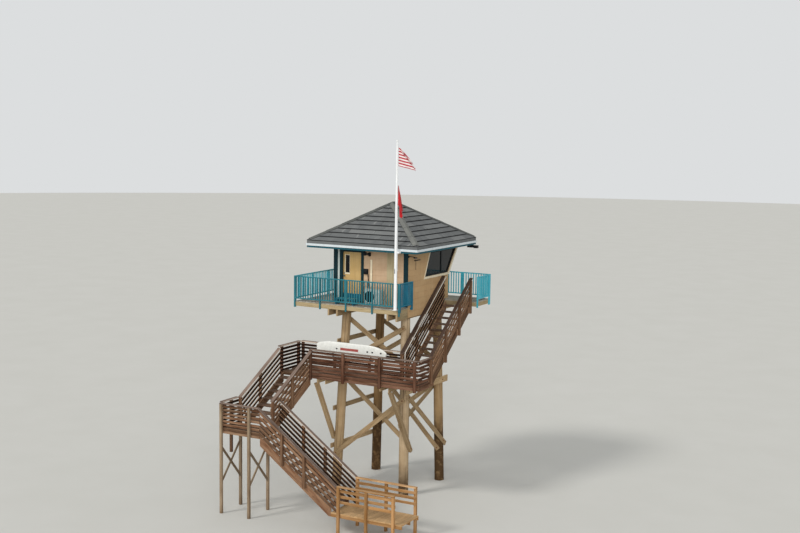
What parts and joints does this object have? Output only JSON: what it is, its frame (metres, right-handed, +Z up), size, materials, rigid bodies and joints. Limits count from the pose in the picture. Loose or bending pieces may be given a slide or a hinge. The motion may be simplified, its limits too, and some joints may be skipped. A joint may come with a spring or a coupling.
{
  "type": "beach lifeguard tower",
  "caption": "Timber lifeguard cabin with leaning sea window and hipped tile roof, high on four leaning braced piles, reached by three boarded stair flights with landings.",
  "frame": {"origin": "middle of the bounding box in plan, at the lowest feet on the sand", "axes": "+Z up, +Y towards the sea, +X along the land side from the door side to the stair side"},
  "size_m": [7.225, 8.92, 12.93],
  "materials": {
    "pile_wood": "round treated piles, weathered tan",
    "brace_lumber": "rough sawn lumber, weathered tan",
    "deck_board": "deck boards, worn grey paint",
    "siding_paint": "lap siding in flat tan paint",
    "window_trim": "trim boards in cream paint",
    "window_frame_metal": "dark bronze anodised aluminium",
    "window_glass": "dark tinted glass",
    "teal_paint": "teal enamel, chalked by sun",
    "hinge_steel": "galvanised steel",
    "white_metal": "white enamel",
    "roof_tile": "charcoal roof tiles with a mineral coat",
    "flag_striped": "woven nylon, red and white stripes",
    "flag_red": "woven nylon, red",
    "black_plastic": "black moulded housings",
    "board_shell": "white laminate",
    "stair_lumber": "lumber with worn brown stain",
    "new_lumber": "newer lumber, orange brown"
  },
  "bodies": {
    "tower": {"tower_piles": "pile_wood", "lower_bracing": "brace_lumber", "upper_bracing": "brace_lumber", "pile_beams": "brace_lumber", "deck_joists": "brace_lumber", "deck_floor": "deck_board", "deck_fascia": "siding_paint", "front_wall_left": "siding_paint", "front_wall_right": "siding_paint", "front_wall_over_door": "siding_paint", "right_wall": "siding_paint", "left_wall": "siding_paint", "sea_wall": "siding_paint", "window_frames": "window_frame_metal", "window_casings": "window_trim", "window_glass": "window_glass", "corner_trim": "teal_paint", "door_frame": "teal_paint", "door_hinges": "hinge_steel", "eave_soffit": "teal_paint", "drip_edge": "white_metal", "roof_shell": "roof_tile", "front_railing": "teal_paint", "return_railing": "teal_paint", "left_railing": "teal_paint", "sea_railing": "teal_paint", "stair_head_railing": "teal_paint", "flagpole": "white_metal", "striped_flag": "flag_striped", "red_flag": "flag_red", "ac_condenser": "white_metal", "wall_fixtures": "black_plastic", "deck_bench": "teal_paint", "rescue_board": "board_shell", "board_brackets": "hinge_steel", "mid_landing": "stair_lumber", "mid_front_rail": "stair_lumber", "mid_back_rail": "stair_lumber", "mid_end_rails": "stair_lumber", "stair_stringers": "stair_lumber", "upper_treads": "stair_lumber", "middle_treads": "stair_lumber", "lower_treads": "stair_lumber", "upper_rails": "stair_lumber", "middle_rails": "stair_lumber", "lower_rails": "stair_lumber", "small_landing": "stair_lumber", "small_landing_posts": "stair_lumber", "small_landing_rails": "stair_lumber", "ground_platform": "new_lumber", "platform_rails": "new_lumber"},
    "door": {"cabin_door": "siding_paint", "door_glass": "window_glass"}
  },
  "joints": [
    {"name": "cabin_door_hinge", "type": "hinge", "parent": "tower", "child": "door", "pos_m": [-0.685, 0.4529, 7.94], "axis": [0, 0, -1], "range_deg": [0, 95]}
  ]
}
